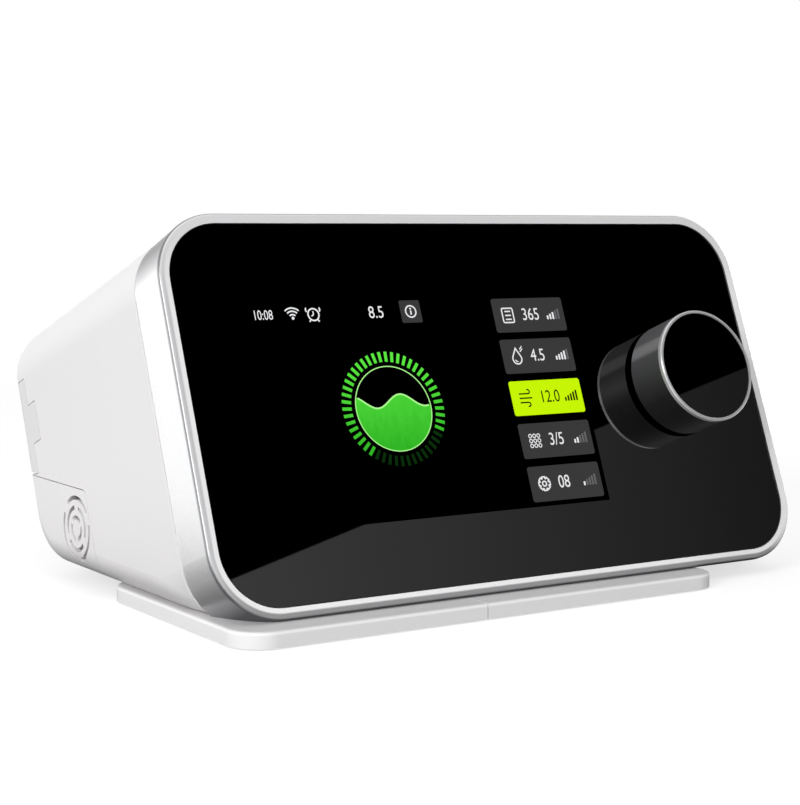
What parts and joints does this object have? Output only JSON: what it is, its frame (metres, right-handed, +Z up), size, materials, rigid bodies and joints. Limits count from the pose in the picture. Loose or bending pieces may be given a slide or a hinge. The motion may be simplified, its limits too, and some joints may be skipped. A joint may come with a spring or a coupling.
{
  "type": "bilevel pap machine",
  "caption": "Bedside breathing-therapy machine: leaning glass front with display and push-turn knob, white casing, heated water tank at the right, hose outlet at the back.",
  "frame": {"origin": "on the table under the middle of the glass, in the face of the right grip pad", "axes": "+X to the right seen from the front, +Y to the back, +Z up"},
  "size_m": [0.2068, 0.1791, 0.1121],
  "materials": {
    "glass_black": "polished, printed black behind",
    "ring_silver": "satin",
    "display": "glossy, lit from behind",
    "shell_white": "smooth, soft gloss",
    "flap_grey": "fine matt",
    "port_grey": "fine matt",
    "knob_dark": "smooth gloss",
    "knob_bright": "polished",
    "foot_grey": "glossy",
    "rubber_dark": "matt",
    "felt_dark": "felt",
    "inner_grey": "fine matt",
    "board_green": "solder mask",
    "chip_black": "moulded",
    "ribbon_amber": "film",
    "steel": "plain",
    "alloy": "plain",
    "magnet_dark": "coated",
    "filter_white": "fleece",
    "foam_grey": "open foam",
    "tank_clear": "clear, faintly blue",
    "seal_clear": "silicone",
    "lead_black": "sheath"
  },
  "bodies": {
    "casing": {"front_glass": "glass_black", "bezel_gasket": "rubber_dark", "bezel_ring": "ring_silver", "lcd_panel": "display", "lcd_frame": "steel", "front_chassis": "inner_grey", "front_screws": "steel", "display_ribbon": "ribbon_amber", "main_board": "board_green", "board_parts": "chip_black", "knob_board": "board_green", "encoder_body": "steel", "encoder_nut": "steel", "knob_felt": "felt_dark", "rear_shell": "shell_white", "base_plate_left": "foot_grey", "base_plate_right": "foot_grey", "grip_pads": "rubber_dark", "base_screws": "steel", "rear_feet": "rubber_dark", "port_board": "board_green", "card_socket": "steel", "power_inlet": "chip_black", "filter_housing": "inner_grey", "intake_plenum": "inner_grey", "intake_foam": "foam_grey", "inlet_bellows": "rubber_dark", "blower_mounts": "rubber_dark", "volute_lower": "inner_grey", "volute_upper": "inner_grey", "motor_stator": "magnet_dark", "motor_bearings": "steel", "motor_housing": "alloy", "inner_leads": "lead_black", "blower_boot": "rubber_dark", "outlet_elbow": "rubber_dark", "outlet_port": "port_grey", "tank_bay": "inner_grey", "port_seals": "rubber_dark"},
    "knob_carriage": {"encoder_plunger": "inner_grey"},
    "knob": {"encoder_shaft": "steel", "knob_body": "knob_dark", "knob_rim": "knob_bright", "knob_disc": "glass_black"},
    "rotor": {"impeller": "inner_grey", "motor_shaft": "steel", "rotor_magnet": "magnet_dark"},
    "tank": {"tank_tub": "tank_clear", "tank_base": "alloy", "tank_seal": "seal_clear", "tank_top": "tank_clear", "tank_door": "shell_white"},
    "latch": {"latch_button": "flap_grey"},
    "heater": {"heater_plate": "alloy", "heater_sensor": "chip_black", "heater_springs": "steel"},
    "filter_drawer": {"filter_cover": "shell_white", "filter_pad": "filter_white"},
    "card_flap": {"port_flap": "flap_grey"},
    "card": {"memory_card": "chip_black"}
  },
  "joints": [
    {"name": "knob_press", "type": "slide", "parent": "casing", "child": "knob_carriage", "axis": [0, 0.9336, -0.3584], "range_m": [0, 0.001], "stiffness_N_per_m": 3000, "springref_m": -0.0005},
    {"name": "knob_turn", "type": "hinge", "parent": "knob_carriage", "child": "knob", "pos_m": [0.0677, 0.00061, 0.06039], "axis": [0, -0.9336, 0.3584], "continuous": true},
    {"name": "impeller_spin", "type": "hinge", "parent": "casing", "child": "rotor", "pos_m": [-0.062, 0.062, 0.0546], "axis": [0, 0, 1], "continuous": true},
    {"name": "tank_slide", "type": "slide", "parent": "casing", "child": "tank", "axis": [1, 0, 0], "range_m": [0, 0.11]},
    {"name": "latch_press", "type": "slide", "parent": "tank", "child": "latch", "axis": [-1, 0, 0], "range_m": [0, 0.0025], "stiffness_N_per_m": 800, "springref_m": -0.001},
    {"name": "heater_travel", "type": "slide", "parent": "casing", "child": "heater", "axis": [0, 0, -1], "range_m": [0, 0.0012], "stiffness_N_per_m": 2500, "springref_m": -0.002, "deforming": ["heater_springs"]},
    {"name": "filter_cover_slide", "type": "slide", "parent": "casing", "child": "filter_drawer", "axis": [-1, 0, 0], "range_m": [0, 0.028]},
    {"name": "port_flap_hinge", "type": "hinge", "parent": "casing", "child": "card_flap", "pos_m": [-0.092, 0.1189, 0.04208], "axis": [0, -0.3584, -0.9336], "range_deg": [0, 100]},
    {"name": "card_press", "type": "slide", "parent": "casing", "child": "card", "axis": [1, 0, 0], "range_m": [0, 0.0007], "stiffness_N_per_m": 1500, "springref_m": -0.0005}
  ]
}
